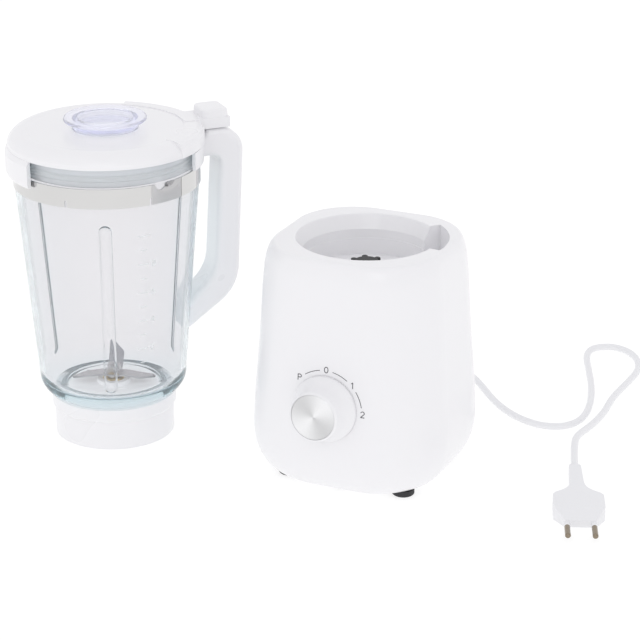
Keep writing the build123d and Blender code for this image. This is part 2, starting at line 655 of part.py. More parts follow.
# ---------------------------------------------------------------- cord gland
with BuildPart() as cord_gland:
    with BuildSketch(rear_plane.offset(-5)):
        Circle(GLAND_HOLE_R - 0.1)
    extrude(amount=10)
    with BuildSketch(rear_plane.offset(-7)):
        Circle(7.0)
    extrude(amount=2)
    with BuildSketch(rear_plane.offset(3)):
        Circle(7.4)
    extrude(amount=2.5)
    with BuildSketch(rear_plane.offset(5.5)):
        Circle(5.4)
    extrude(amount=RELIEF_LONG - 5.5, taper=2.4)
    # grooves that let the sleeve bend
    for step in range(4):
        with BuildSketch(rear_plane.offset(9.0 + 5.0 * step)):
            Circle(7)
            Circle(3.7, mode=Mode.SUBTRACT)
        extrude(amount=1.6, mode=Mode.SUBTRACT)
    with BuildSketch(rear_plane.offset(-7)):
        Circle(CORD_R)
    extrude(amount=RELIEF_LONG + 7 - 6, mode=Mode.SUBTRACT)
finish(cord_gland.part, "cord_gland")

# ---------------------------------------------------------------- power cord
# Route from inside the gland's tip, down to the worktop, back in a fold behind the base and
# out to the plug, lying flat on the worktop.
CORD_LOW = CORD_R + 0.05
CORD_START_Y = BASE_Y + rear_wall + RELIEF_LONG - 6
ROUTE = [
    (CORD_EXIT_X, CORD_START_Y, CORD_EXIT_Z),
    (CORD_EXIT_X, 117.0, 25.0),
    (75.5, 137.0, 17.0),
    (72.5, 157.0, 5.5),
    (69.5, 181.5, CORD_LOW),
    (84.7, 196.8, CORD_LOW),
    (106.3, 196.8, CORD_LOW),
    (122.0, 181.0, CORD_LOW),
    (136.0, 163.0, CORD_LOW),
    (151.5, 145.0, CORD_LOW),
    (171.0, 129.5, CORD_LOW),
    (192.0, 121.5, CORD_LOW),
    (209.0, 126.0, CORD_LOW),
    (218.0, 142.0, CORD_LOW),
    (216.5, 169.0, CORD_LOW),
    (206.0, 207.0, CORD_LOW),
    (190.0, 246.0, CORD_LOW),
    (180.5, 269.0, CORD_LOW),
    (179.5, 287.0, CORD_LOW),
    (194.0, 297.5, CORD_LOW),
    (211.0, 291.0, CORD_LOW),
    (223.0, 274.5, CORD_LOW),
    (228.5, 255.0, CORD_LOW),
    (228.0, 228.0, CORD_LOW),
    (226.0, 197.0, CORD_LOW),
    (229.5, 164.0, CORD_LOW),
    (228.0, 137.0, CORD_LOW),
    (223.6, 114.6, CORD_LOW),
    (228.8, 95.6, CORD_LOW),
    (236.1, 73.7, CORD_LOW + 1.2),
    (242.8, 54.1, PLUG_THICK / 2),
]
PLUG_END = ROUTE[-1]
PLUG_WAY = Vector(0.36, -0.933, 0).normalized()


def corner_radii(route):
    """The largest even arcs that the runs on each side of every corner leave room for."""
    radii = []
    for before, corner, after in zip(route, route[1:], route[2:]):
        run_in = Vector(*corner) - Vector(*before)
        run_out = Vector(*after) - Vector(*corner)
        half_turn = radians(run_in.get_angle(run_out)) / 2
        radii.append(0.45 * min(run_in.length, run_out.length) / tan(half_turn))
    return radii


RADII = corner_radii(ROUTE)
print("cord radii:", [round(r) for r in RADII])

with BuildPart() as power_cord:
    with BuildLine() as cord_path:
        FilletPolyline(*ROUTE, radius=RADII)
    start_way = (Vector(*ROUTE[1]) - Vector(*ROUTE[0])).normalized()
    with BuildSketch(Plane(origin=ROUTE[0], z_dir=start_way)):
        Circle(CORD_R)
    sweep(transition=Transition.RIGHT)
CORD_LENGTH = sum(edge.length for edge in cord_path.edges())
print("cord length:", round(CORD_LENGTH), "volume ratio:",
      round(power_cord.part.volume / (CORD_LENGTH * pi * CORD_R**2), 4))
finish(power_cord.part, "power_cord")

# ---------------------------------------------------------------- plug
plug_side = Vector(-PLUG_WAY.Y, PLUG_WAY.X, 0)
plug_plane = Plane(origin=PLUG_END, x_dir=plug_side, z_dir=(0, 0, 1))
with BuildPart() as plug_body:
    with BuildSketch(plug_plane.offset(-PLUG_THICK / 2)):
        with BuildLine():
            Polyline((3.2, 0), (4.3, -1.5), (4.9, -28))
            Spline((4.9, -28), (7.4, -42), (15.8, -51), tangents=((0.03, -1), (1, -0.8)))
            Polyline((15.8, -51), (PLUG_HALF, -54.5), (PLUG_HALF, -73), (10.8, -PLUG_LONG))
            Polyline((10.8, -PLUG_LONG), (0, -PLUG_LONG), (0, 0), (3.2, 0))
        make_face()
        mirror(about=Plane.YZ)
    extrude(amount=PLUG_THICK)
    # side profile: slim neck, full thickness at the grip, thin again at the pins
    side_plane = Plane(origin=PLUG_END, x_dir=PLUG_WAY, z_dir=plug_side)
    with BuildSketch(side_plane.offset(-20)):
        with BuildLine():
            upper = [(-1, 3.4), (0, 3.4), (28, 4.2), (50, PLUG_THICK / 2), (73, PLUG_THICK / 2),
                     (PLUG_LONG, 2.6)]
            Polyline(*upper, *[(x, -y) for x, y in reversed(upper)], close=True)
        make_face()
    extrude(amount=40, mode=Mode.INTERSECT)
finish(plug_body.part, "plug_body")

pin_face = Plane(origin=Vector(*PLUG_END) + PLUG_WAY * PLUG_LONG, x_dir=plug_side, z_dir=PLUG_WAY)
CORE_R = 1.4
with BuildPart() as plug_pins:
    with BuildSketch(pin_face):
        with GridLocations(PIN_PITCH, 1, 2, 1):
            Circle(CORE_R)
    extrude(amount=SLEEVE_LONG)
    with BuildSketch(pin_face.offset(SLEEVE_LONG)):
        with GridLocations(PIN_PITCH, 1, 2, 1):
            Circle(PIN_R)
    extrude(amount=PIN_LONG - SLEEVE_LONG)
    fillet(plug_pins.edges().sort_by(Axis((0, 0, 0), PLUG_WAY))[-2:], 1.2)
finish(plug_pins.part, "plug_pins")

with BuildPart() as pin_sleeves:
    with BuildSketch(pin_face):
        with GridLocations(PIN_PITCH, 1, 2, 1):
            Circle(PIN_R)
            Circle(CORE_R, mode=Mode.SUBTRACT)
    extrude(amount=SLEEVE_LONG)
finish(pin_sleeves.part, "pin_sleeves")

# ---------------------------------------------------------------- glass jug
side_lean = (GLASS_RIM_R - GLASS_CORNER_R) / (BAND_LOW - GLASS_CORNER_Z)
GLASS_BORE_R = GLASS_RIM_R - GLASS_WALL


def glass_r(z):
    """Outer radius of the glass wall between its lower corner and the band."""
    return GLASS_CORNER_R + side_lean * (z - GLASS_CORNER_Z)


def rib_bar(turn, out, radius, low, top):
    """Round-ended bar that leans with the glass wall, out mm outside it."""
    foot = upright(JAR_X, JAR_Y, turn).from_local_coords((glass_r(low) + out, low))
    head = upright(JAR_X, JAR_Y, turn).from_local_coords((glass_r(top) + out, top))
    way = head - foot
    with BuildPart() as bar:
        with BuildSketch(Plane(origin=foot, z_dir=way)):
            Circle(radius)
        extrude(amount=way.length)
        with Locations(foot, head):
            Sphere(radius)
    return bar.part


RIB_LOW, RIB_TOP = 53.0, 175.0
rib_turns = [RIB_TURN + 120 * step for step in range(3)]
with BuildPart() as glass_bore:
    with BuildSketch(upright(JAR_X, JAR_Y, HANDLE_TURN)):
        with BuildLine():
            Polyline((0, GLASS_LOW - 1), (NECK_BORE_R, GLASS_LOW - 1), (NECK_BORE_R, 38.0),
                     (44.0, 41.0))
            ThreePointArc((44.0, 41.0), (48.6, 44.0), (glass_r(52.0) - GLASS_WALL, 52.0))
            Polyline((glass_r(52.0) - GLASS_WALL, 52.0), (GLASS_BORE_R, BAND_LOW),
                     (GLASS_BORE_R, GLASS_TOP + 1))
            Polyline((GLASS_BORE_R, GLASS_TOP + 1), (0, GLASS_TOP + 1), (0, GLASS_LOW - 1))
        make_face()
    revolve(axis=JAR_AXIS)
    for turn in rib_turns:
        add(rib_bar(turn, 0.2, 6.4, RIB_LOW, RIB_TOP), mode=Mode.SUBTRACT)

with BuildPart() as glass_jug:
    with BuildSketch(upright(JAR_X, JAR_Y, HANDLE_TURN)):
        with BuildLine():
            Polyline((0, GLASS_LOW), (NECK_R, GLASS_LOW), (NECK_R, COLLAR_HIGH + 0.6),
                     (45.5, COLLAR_HIGH + 0.6))
            ThreePointArc((45.5, COLLAR_HIGH + 0.6), (51.6, 38.2), (GLASS_CORNER_R, GLASS_CORNER_Z))
            Polyline((GLASS_CORNER_R, GLASS_CORNER_Z), (GLASS_RIM_R, BAND_LOW), (GLASS_RIM_R, 210.0),
                     (67.6, 212.0))
            Polyline((67.6, 212.0), (67.6, GLASS_TOP - 2))
            ThreePointArc((67.6, GLASS_TOP - 2), (66.9, GLASS_TOP - 0.6), (65.4, GLASS_TOP))
            Polyline((65.4, GLASS_TOP), (0, GLASS_TOP), (0, GLASS_LOW))
        make_face()
    revolve(axis=JAR_AXIS)
    # pouring lip opposite the handle
    with BuildSketch(upright(JAR_X, JAR_Y, HANDLE_TURN + 180 - 17)):
        with BuildLine():
            Polyline((66.0, 211.0), (67.6, 211.0), (68.9, GLASS_TOP - 2), (68.4, GLASS_TOP - 0.5),
                     (66.0, GLASS_TOP - 0.5), close=True)
        make_face()
    revolve(axis=JAR_AXIS, revolution_arc=34)
    for turn in rib_turns:
        add(rib_bar(turn, 2.4, 4.6, RIB_LOW, RIB_TOP), mode=Mode.SUBTRACT)
    add(glass_bore.part, mode=Mode.SUBTRACT)
finish(glass_jug.part, "glass_jug")

# ---------------------------------------------------------------- chrome band
NOTCH_TURN, SEAM_TURN = -27.0, -10.0
BAND_SLOTS = (-86.0, -34.0)
with BuildPart() as chrome_band:
    add(jar_turned(tube_outline(GLASS_RIM_R + 0.1, BAND_R, BAND_LOW, BAND_TOP)))
    # seam where the strip is joined
    with BuildSketch(at_jar(BAND_LOW, SEAM_TURN)):
        with Locations((BAND_R, 0)):
            Rectangle(1.0, 0.5)
    extrude(amount=BAND_TOP - BAND_LOW, mode=Mode.SUBTRACT)
    # half-round notch in the upper edge
    with BuildSketch(Plane(origin=at_jar(BAND_TOP, NOTCH_TURN).from_local_coords((60, 0, 0)),
                           x_dir=(-sin(radians(NOTCH_TURN)), cos(radians(NOTCH_TURN)), 0),
                           z_dir=(cos(radians(NOTCH_TURN)), sin(radians(NOTCH_TURN)), 0))):
        Circle(4.4)
    extrude(amount=12, mode=Mode.SUBTRACT)
    # two narrow slots at the lower edge
    for turn in BAND_SLOTS:
        with BuildSketch(at_jar(BAND_LOW - 1, turn)):
            with Locations((BAND_R - 0.5, 0)):
                Rectangle(4.0, 1.6)
        extrude(amount=6.0, mode=Mode.SUBTRACT)
finish(chrome_band.part, "chrome_band")

# ---------------------------------------------------------------- handle
SADDLE_HALF = 44.0
handle_plane = upright(JAR_X, JAR_Y, HANDLE_TURN)
HANDLE_TOP = 226.3
outer_top, outer_low = (HANDLE_OUT, HANDLE_TOP), (HANDLE_OUT - 5.8, 101.4)
inner_top, inner_low = (HANDLE_IN, 206.0), (HANDLE_IN - 5.0, 115.5)
with BuildPart() as handle:
    with BuildSketch(handle_plane.offset(-HANDLE_WIDE / 2)) as side_view:
        with BuildLine():
            Polyline(
                (60, SADDLE_TOP), (70.5, SADDLE_TOP), (74, HANDLE_TOP), outer_top, outer_low,
                (50, 69.5), (50, 87.3), inner_low, inner_top, (60, inner_top[1]), close=True,
            )
        make_face()
        for corner, radius in ((outer_top, 18), (outer_low, 34), (inner_low, 30), (inner_top, 6)):
            fillet(side_view.vertices().sort_by_distance(corner)[0], radius)
    extrude(amount=HANDLE_WIDE)
    flank = handle.edges().filter_by(
        lambda e: abs(abs(at_jar().to_local_coords(e.center()).Y) - HANDLE_WIDE / 2) < 0.1
    )
    grip_edges = flank.filter_by(lambda e: at_jar().to_local_coords(e.center()).X > 60.5)
    fillet(grip_edges, 4.0)
    # saddle that hugs the rim between the band and the lid
    add(jar_turned(tube_outline(66.0, 70.3, SADDLE_LOW, SADDLE_TOP), HANDLE_TURN - SADDLE_HALF,
                   2 * SADDLE_HALF))
    # clear of the glass and its rim
    glass_room = [(0, 60), (glass_r(60) + 0.1, 60), (GLASS_RIM_R + 0.1, BAND_LOW), (BAND_R + 0.2, BAND_LOW),
                  (BAND_R + 0.2, BAND_TOP + 0.3), (67.7, 212.0), (67.7, 240), (0, 240)]
    add(jar_turned(glass_room), mode=Mode.SUBTRACT)
finish(handle.part, "handle")

# ---------------------------------------------------------------- lid
PAD_HALF, PAD_IN = 59.0, 56.5
SPOUT_HALF = 22.0
TONGUE_LOW, TONGUE_TOP, TONGUE_END = 227.2, 234.9, 91.0
with BuildPart() as lid:
    with BuildSketch(upright(JAR_X, JAR_Y, HANDLE_TURN)):
        with BuildLine():
            Polyline((CAP_R + 0.5, LID_TOP), (PAD_IN, LID_TOP))
            ThreePointArc((PAD_IN, LID_TOP), (66.4, 232.0), (LID_R, 226.6))
            Polyline((LID_R, 226.6), (LID_R, LID_LOW), (68.9, LID_LOW), (68.9, 227.2), (61.8, 227.2),
                     (61.8, 208.0))
            Polyline((61.8, 208.0), (59.6, 208.0), (59.6, 230.8), (CAP_R + 3.0, 230.8),
                     (CAP_R + 3.0, 222.0))
            Polyline((CAP_R + 3.0, 222.0), (CAP_R + 0.5, 222.0), (CAP_R + 0.5, LID_TOP))
        make_face()
    revolve(axis=JAR_AXIS)
    # flat sector under the tongue
    pad = [(PAD_IN, 231.5), (LID_R - 1, 227.4), (LID_R - 1, LID_LOW), (LID_R + 0.6, LID_LOW),
           (LID_R + 0.6, 230.2), (LID_R - 1.4, 233.2), (LID_R - 5, 234.5), (PAD_IN, 234.5)]
    add(jar_turned(pad, HANDLE_TURN - PAD_HALF, 2 * PAD_HALF))
    # cover over the pouring lip
    spout_cover = [(69.4, 203.5), (71.4, 203.5), (72.6, 206.0), (72.6, 219.5), (71.0, 223.0), (69.4, 224.0)]
    add(jar_turned(spout_cover, HANDLE_TURN + 180 - SPOUT_HALF, 2 * SPOUT_HALF))
    # tongue over the head of the handle, with a thumb block
    with BuildSketch(at_jar(TONGUE_LOW)):
        with Locations(((PAD_IN + TONGUE_END) / 2, 0)):
            Rectangle(TONGUE_END - PAD_IN, HANDLE_WIDE - 1)
    extrude(amount=TONGUE_TOP - TONGUE_LOW)
    with BuildSketch(at_jar(TONGUE_TOP - 2)):
        with Locations((80.5, 0)):
            RectangleRounded(21.0, HANDLE_WIDE - 1, 5)
    extrude(amount=8.0, taper=6)
    fillet(lid.faces().sort_by(Axis.Z)[-1].edges(), 2.0)
    # the inside stays clear of the glass rim
    add(jar_turned([(61.8, 200), (68.9, 200), (68.9, 227.2), (61.8, 227.2)]), mode=Mode.SUBTRACT)
    # groove that holds the seal
    add(jar_turned(tube_outline(61.0, 62.5, 212.0, 217.0)), mode=Mode.SUBTRACT)
finish(lid.part, "lid")

with BuildPart() as lid_seal:
    add(jar_turned([(61.0, 212.0), (61.9, 212.0), (62.5, 213.0), (61.9, 214.0), (61.9, 215.0),
                    (62.5, 216.0), (61.9, 217.0), (61.0, 217.0)]))
finish(lid_seal.part, "lid_seal")

# ---------------------------------------------------------------- measuring cap in the lid
with BuildPart() as measuring_cap:
    add(jar_turned([(20.0, CAP_TOP), (20.0, 237.0), (0, 237.0), (0, 234.6), (21.4, 234.6), (21.4, 218.0),
                    (CAP_R, 218.0), (CAP_R, 239.6), (CAP_FLANGE_R - 0.8, 239.6), (CAP_FLANGE_R, 240.4),
                    (CAP_FLANGE_R, 241.4), (CAP_FLANGE_R - 0.8, CAP_TOP)]))
finish(measuring_cap.part, "measuring_cap")

# ---------------------------------------------------------------- jar base: collar, carrier, gasket
COLLAR_SHELF_LOW, COLLAR_SHELF_TOP = 17.0, 20.0
with BuildPart() as collar:
    add(jar_turned([(41.0, 0), (COLLAR_R, 0), (COLLAR_R, 20.5), (COLLAR_RIM_R, 23.0),
                    (COLLAR_RIM_R, COLLAR_HIGH - 1), (COLLAR_RIM_R - 1, COLLAR_HIGH),
                    (NECK_R + 0.3, COLLAR_HIGH), (NECK_R + 0.3, COLLAR_SHELF_TOP),
                    (31.0, COLLAR_SHELF_TOP), (31.0, COLLAR_SHELF_LOW), (41.0, COLLAR_SHELF_LOW)]))
    # grip ribs inside the skirt
    with BuildSketch(at_jar(0)):
        with PolarLocations(39.8, 6):
            Rectangle(2.8, 3.0)
    extrude(amount=COLLAR_SHELF_LOW + 1)
finish(collar.part, "collar")

finish(jar_turned(tube_outline(NECK_BORE_R, NECK_R, 22.0, GLASS_LOW)), "jug_gasket")

CARRIER_TOP = 37.0
SOCKET_LOW, SOCKET_END, SOCKET_TOP = 4.0, 12.4, 15.2  # driven coupler: mouth, end of the teeth, top
BUSH_LOW = SOCKET_TOP + 0.4
with BuildPart() as blade_carrier:
    add(jar_turned([(8.0, BUSH_LOW + 0.8), (12.0, BUSH_LOW + 0.8), (12.0, CARRIER_TOP - 3),
                    (31.6, CARRIER_TOP - 4), (31.6, COLLAR_SHELF_TOP), (NECK_R, COLLAR_SHELF_TOP),
                    (NECK_R, 22.0), (34.8, 22.0), (34.8, CARRIER_TOP - 2), (32.8, CARRIER_TOP),
                    (13.0, CARRIER_TOP + 0.6), (12.0, CARRIER_TOP + 3), (8.0, CARRIER_TOP + 3)]))
    # stiffening ribs under the dome
    with BuildSketch(at_jar(COLLAR_SHELF_TOP + 2)):
        with PolarLocations(21.6, 6):
            Rectangle(20.4, 2.0)
    extrude(amount=CARRIER_TOP - COLLAR_SHELF_TOP - 5)
finish(blade_carrier.part, "blade_carrier")

with BuildPart() as blade_bush:
    with BuildSketch(at_jar(BUSH_LOW)):
        Circle(8.0)
        Circle(BLADE_SHAFT_R + BEARING_GAP, mode=Mode.SUBTRACT)
    extrude(amount=CARRIER_TOP + 4 - BUSH_LOW)
    chamfer(rims(blade_bush, 8.0), 0.8)
finish(blade_bush.part, "blade_bush")

# ---------------------------------------------------------------- blades and their shaft
BLADE_LOW, BLADE_THICK, BLADE_SHAFT_TOP = 43.0, 1.4, 51.5
with BuildPart() as blade_shaft:
    with BuildSketch(at_jar(SOCKET_END)):
        Circle(BLADE_SHAFT_R)
    extrude(amount=BLADE_SHAFT_TOP - SOCKET_END)
finish(blade_shaft.part, "blade_shaft")


def cutter(low, turn, reach, rise):
    """Two-armed blade: flat in the middle, its arms bent up or down by rise degrees."""
    with BuildPart() as blade:
        with BuildSketch(at_jar(low, turn)):
            Rectangle(18, 11)
        extrude(amount=BLADE_THICK)
        for half_turn in (0, 180):
            hinge = at_jar(low, turn + half_turn).from_local_coords((8.0, 0, 0))
            arm_flat = at_jar(0, turn + half_turn).x_dir
            arm_way = arm_flat * cos(radians(rise)) + Vector(0, 0, sin(radians(rise)))
            arm_side = at_jar(0, turn + half_turn).y_dir
            with BuildSketch(Plane(origin=hinge, x_dir=arm_way, z_dir=arm_way.cross(arm_side))):
                with BuildLine():
                    Polyline((0, -5.5), (reach * 0.55, -5.5), (reach, 2.5), (reach * 0.94, 4.8),
                             (0, 5.5), close=True)
                make_face()
            extrude(amount=BLADE_THICK)
        with BuildSketch(at_jar(low - 1, turn)):
            Circle(BLADE_SHAFT_R)
        extrude(amount=BLADE_THICK + 2, mode=Mode.SUBTRACT)
    return blade.part


finish(cutter(BLADE_LOW, 20, 23, -8), "lower_blades")
finish(cutter(BLADE_LOW + BLADE_THICK, 110, 24, 38), "upper_blades")

with BuildPart() as blade_spacer:
    with BuildSketch(at_jar(CARRIER_TOP + 4.2)):
        Circle(5.5)
        Circle(BLADE_SHAFT_R, mode=Mode.SUBTRACT)
    extrude(amount=BLADE_LOW - CARRIER_TOP - 4.2)
finish(blade_spacer.part, "blade_spacer")

with BuildPart() as blade_nut:
    with BuildSketch(at_jar(BLADE_LOW + 2 * BLADE_THICK)):
        RegularPolygon(6.0, 6)
        Circle(BLADE_SHAFT_R, mode=Mode.SUBTRACT)
    extrude(amount=4.6)
finish(blade_nut.part, "blade_nut")

# ---------------------------------------------------------------- driven coupler under the jar
with BuildPart() as jar_coupler:
    with BuildSketch(at_jar(SOCKET_LOW)):
        Circle(15.5)
    extrude(amount=SOCKET_TOP - SOCKET_LOW)
    with BuildSketch(at_jar(SOCKET_LOW)):
        Circle(9.2)
        with PolarLocations(9.8, COUPLER_TEETH):
            Circle(2.7)
    extrude(amount=SOCKET_END - SOCKET_LOW, mode=Mode.SUBTRACT)
    with BuildSketch(at_jar(SOCKET_LOW)):
        Circle(BLADE_SHAFT_R)
    extrude(amount=SOCKET_TOP - SOCKET_LOW, mode=Mode.SUBTRACT)
finish(jar_coupler.part, "jar_coupler")
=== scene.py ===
"""Countertop blender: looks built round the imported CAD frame. Metres, +Z up, the knob faces -Y."""

import json
import math

import bmesh
import bpy
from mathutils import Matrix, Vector
from mathutils.bvhtree import BVHTree


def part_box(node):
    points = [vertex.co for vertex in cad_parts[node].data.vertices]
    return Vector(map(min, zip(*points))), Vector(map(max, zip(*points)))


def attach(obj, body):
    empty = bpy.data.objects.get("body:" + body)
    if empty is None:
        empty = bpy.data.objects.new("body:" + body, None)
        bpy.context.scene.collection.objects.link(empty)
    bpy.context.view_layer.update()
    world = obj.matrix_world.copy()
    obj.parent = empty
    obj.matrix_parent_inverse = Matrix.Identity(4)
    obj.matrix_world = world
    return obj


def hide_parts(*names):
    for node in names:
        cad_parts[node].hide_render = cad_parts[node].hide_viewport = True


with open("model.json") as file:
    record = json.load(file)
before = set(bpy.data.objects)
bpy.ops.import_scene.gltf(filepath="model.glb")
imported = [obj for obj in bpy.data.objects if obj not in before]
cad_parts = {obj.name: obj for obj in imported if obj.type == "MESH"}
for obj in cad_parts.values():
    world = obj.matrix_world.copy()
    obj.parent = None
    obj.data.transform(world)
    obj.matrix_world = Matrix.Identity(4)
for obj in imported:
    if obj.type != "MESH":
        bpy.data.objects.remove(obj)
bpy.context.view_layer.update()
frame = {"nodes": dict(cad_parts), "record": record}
NODES = frame["nodes"]
MM = 0.001


# ---------------------------------------------------------------- places read from the frame
def middle(node):
    low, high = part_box(node)
    return (Vector(low) + Vector(high)) / 2


def surface(node):
    """Search tree of a CAD node's skin, for laying thin marks on it."""
    place = NODES[node].matrix_world
    mesh = NODES[node].data
    corners = [place @ vertex.co for vertex in mesh.vertices]
    return BVHTree.FromPolygons(corners, [list(face.vertices) for face in mesh.polygons])


# ---------------------------------------------------------------- camera, floor and light
LENS, SENSOR = 132.0, 36.0
SEES_TO = 20.0
CAMERA_PLACE = (0.7061, -1.4161, 0.7169)
CAMERA_PITCH, CAMERA_YAW = 68.69, 24.3

SKY_BRIGHT, SKY_DIM = (0.99, 0.99, 1.0), (0.80, 0.80, 0.81)
SKY_PITCH, SKY_YAW = -60.0, 35.0
SKY_FADE_FROM, SKY_FADE_TO = 0.1, 0.8
SKY_STRENGTH = 0.95
LIGHT_PLACE, LIGHT_TARGET = (0.6, -1.7, 1.0), (0, 0, 0.1)
LIGHT_SIDE, LIGHT_POWER = 0.9, 2.0

FLOOR_SIZE = 6.0
FLOOR_GREY, FLOOR_ROUGH, FLOOR_SHINE, FLOOR_GLOW = 0.3, 0.9, 0.1, 0.76


def make_camera():
    data = bpy.data.cameras.new("camera")
    data.lens = LENS
    data.sensor_width = SENSOR
    data.clip_end = SEES_TO
    camera = bpy.data.objects.new("camera", data)
    camera.location = CAMERA_PLACE
    camera.rotation_euler = (math.radians(CAMERA_PITCH), 0.0, math.radians(CAMERA_YAW))
    bpy.context.collection.objects.link(camera)
    bpy.context.scene.camera = camera


def make_light():
    """One weak square light in front, for soft highlights."""
    data = bpy.data.lights.new("front", "AREA")
    data.shape = "RECTANGLE"
    data.size = data.size_y = LIGHT_SIDE
    data.energy = LIGHT_POWER
    light = bpy.data.objects.new("front", data)
    light.location = LIGHT_PLACE
    way = Vector(LIGHT_TARGET) - Vector(LIGHT_PLACE)
    light.rotation_euler = way.to_track_quat("-Z", "Y").to_euler()
    bpy.context.collection.objects.link(light)


def make_studio():
    """Even white surroundings that fade to pale grey overhead and on one side."""
    world = bpy.data.worlds.new("studio")
    world.use_nodes = True
    tree = world.node_tree
    way = tree.nodes.new("ShaderNodeTexCoord")
    turn = tree.nodes.new("ShaderNodeMapping")
    turn.inputs["Rotation"].default_value = (0.0, math.radians(SKY_PITCH), math.radians(SKY_YAW))
    shade = tree.nodes.new("ShaderNodeTexGradient")
    tree.links.new(way.outputs["Generated"], turn.inputs["Vector"])
    tree.links.new(turn.outputs["Vector"], shade.inputs["Vector"])
    fade = ramp(tree, shade.outputs["Fac"], SKY_BRIGHT, SKY_DIM, SKY_FADE_FROM, SKY_FADE_TO)
    tree.links.new(fade, tree.nodes["Background"].inputs["Color"])
    tree.nodes["Background"].inputs["Strength"].default_value = SKY_STRENGTH
    bpy.context.scene.world = world
    bpy.context.scene.view_settings.view_transform = "Standard"


def make_floor():
    """Pale floor; its own glow lets it come out as white as the surroundings."""
    mesh = bpy.data.meshes.new("floor")
    build = bmesh.new()
    bmesh.ops.create_grid(build, x_segments=4, y_segments=4, size=FLOOR_SIZE)
    build.to_mesh(mesh)
    build.free()
    floor = bpy.data.objects.new("floor", mesh)
    bpy.context.collection.objects.link(floor)
    paint, shader = new_material("floor")
    socket_set(shader, Base_Color=(FLOOR_GREY, FLOOR_GREY, FLOOR_GREY, 1), Roughness=FLOOR_ROUGH,
               Specular_IOR_Level=FLOOR_SHINE, Emission_Color=(1, 1, 1, 1), Emission_Strength=FLOOR_GLOW)
    mesh.materials.append(paint)


# ---------------------------------------------------------------- materials
def socket_set(shader, **values):
    """Constants on the shader's own sockets, named with underscores for spaces."""
    for name, value in values.items():
        shader.inputs[name.replace("_", " ")].default_value = value


def new_material(name):
    paint = bpy.data.materials.new(name)
    paint.use_nodes = True
    return paint, paint.node_tree.nodes["Principled BSDF"]


def noise(tree, scale, detail=3.0, stretch=(1, 1, 1)):
    """A noise texture in object space; scale counts features per metre."""
    place = tree.nodes.new("ShaderNodeTexCoord")
    size = tree.nodes.new("ShaderNodeMapping")
    size.inputs["Scale"].default_value = stretch
    texture = tree.nodes.new("ShaderNodeTexNoise")
    texture.inputs["Scale"].default_value = scale
    texture.inputs["Detail"].default_value = detail
    tree.links.new(place.outputs["Object"], size.inputs["Vector"])
    tree.links.new(size.outputs["Vector"], texture.inputs["Vector"])
    return texture.outputs["Fac"]


def ramp(tree, source, low, high, start, end):
    """Eases from one colour to another as the source goes from start to end."""
    node = tree.nodes.new("ShaderNodeValToRGB")
    node.color_ramp.interpolation = "EASE"
    node.color_ramp.elements[0].position, node.color_ramp.elements[0].color = start, (*low, 1)
    node.color_ramp.elements[1].position, node.color_ramp.elements[1].color = end, (*high, 1)
    tree.links.new(source, node.inputs["Fac"])
    return node.outputs["Color"]


def between(tree, source, low, high):
    """Stretches a factor of 0 to 1 over a range."""
    node = tree.nodes.new("ShaderNodeMapRange")
    node.inputs["To Min"].default_value, node.inputs["To Max"].default_value = low, high
    tree.links.new(source, node.inputs["Value"])
    return node.outputs["Result"]


def bump(tree, shader, source, height):
    """Relief of the given height in metres."""
    node = tree.nodes.new("ShaderNodeBump")
    node.inputs["Distance"].default_value = height
    node.inputs["Strength"].default_value = 1.0
    tree.links.new(source, node.inputs["Height"])
    tree.links.new(node.outputs["Normal"], shader.inputs["Normal"])


DRIFT, DRIFT_SCALE = 0.003, 9.0          # how far a moulded colour wanders, and how often per metre
GLOSS_DRIFT, GLOSS_SCALE = 0.06, 12.0    # the same for its roughness
GRAIN_SCALE = 900.0                      # fine grain of moulded pieces, per metre


def moulded(name, colour, rough, grain=0.000004, **sockets):
    """Moulded plastic or rubber: faint drift of colour, uneven gloss, fine grain."""
    paint, shader = new_material(name)
    tree = paint.node_tree
    dark = [c * (1 - DRIFT) for c in colour]
    light = [c * (1 + DRIFT) for c in colour]
    tone = ramp(tree, noise(tree, DRIFT_SCALE, 1.0), dark, light, 0.2, 0.8)
    tree.links.new(tone, shader.inputs["Base Color"])
    low, high = rough * (1 - GLOSS_DRIFT), rough * (1 + GLOSS_DRIFT)
    tree.links.new(between(tree, noise(tree, GLOSS_SCALE, 1.0), low, high), shader.inputs["Roughness"])
    bump(tree, shader, noise(tree, GRAIN_SCALE), grain)
    socket_set(shader, **sockets)
    return paint


def metal(name, colour, rough, grain=0.00001, scale=700.0, stretch=(1, 1, 1), fade=0.93, **sockets):
    """Metal with a worked surface; a stretched grain gives it its lay."""
    paint, shader = new_material(name)
    tree = paint.node_tree
    lay = noise(tree, scale, 4.0, stretch)
    dark = [c * fade for c in colour]
    tree.links.new(ramp(tree, lay, dark, colour, 0.3, 0.7), shader.inputs["Base Color"])
    tree.links.new(between(tree, lay, rough * 0.8, rough * 1.25), shader.inputs["Roughness"])
    bump(tree, shader, lay, grain)
    socket_set(shader, Metallic=1.0, **sockets)
    return paint


HAZE_SCALE = 30.0                        # patches of haze on clear pieces, per metre
WAVE_SCALE, WAVE_HEIGHT = 45.0, 0.00001  # slow waves of pressed glass and plastic


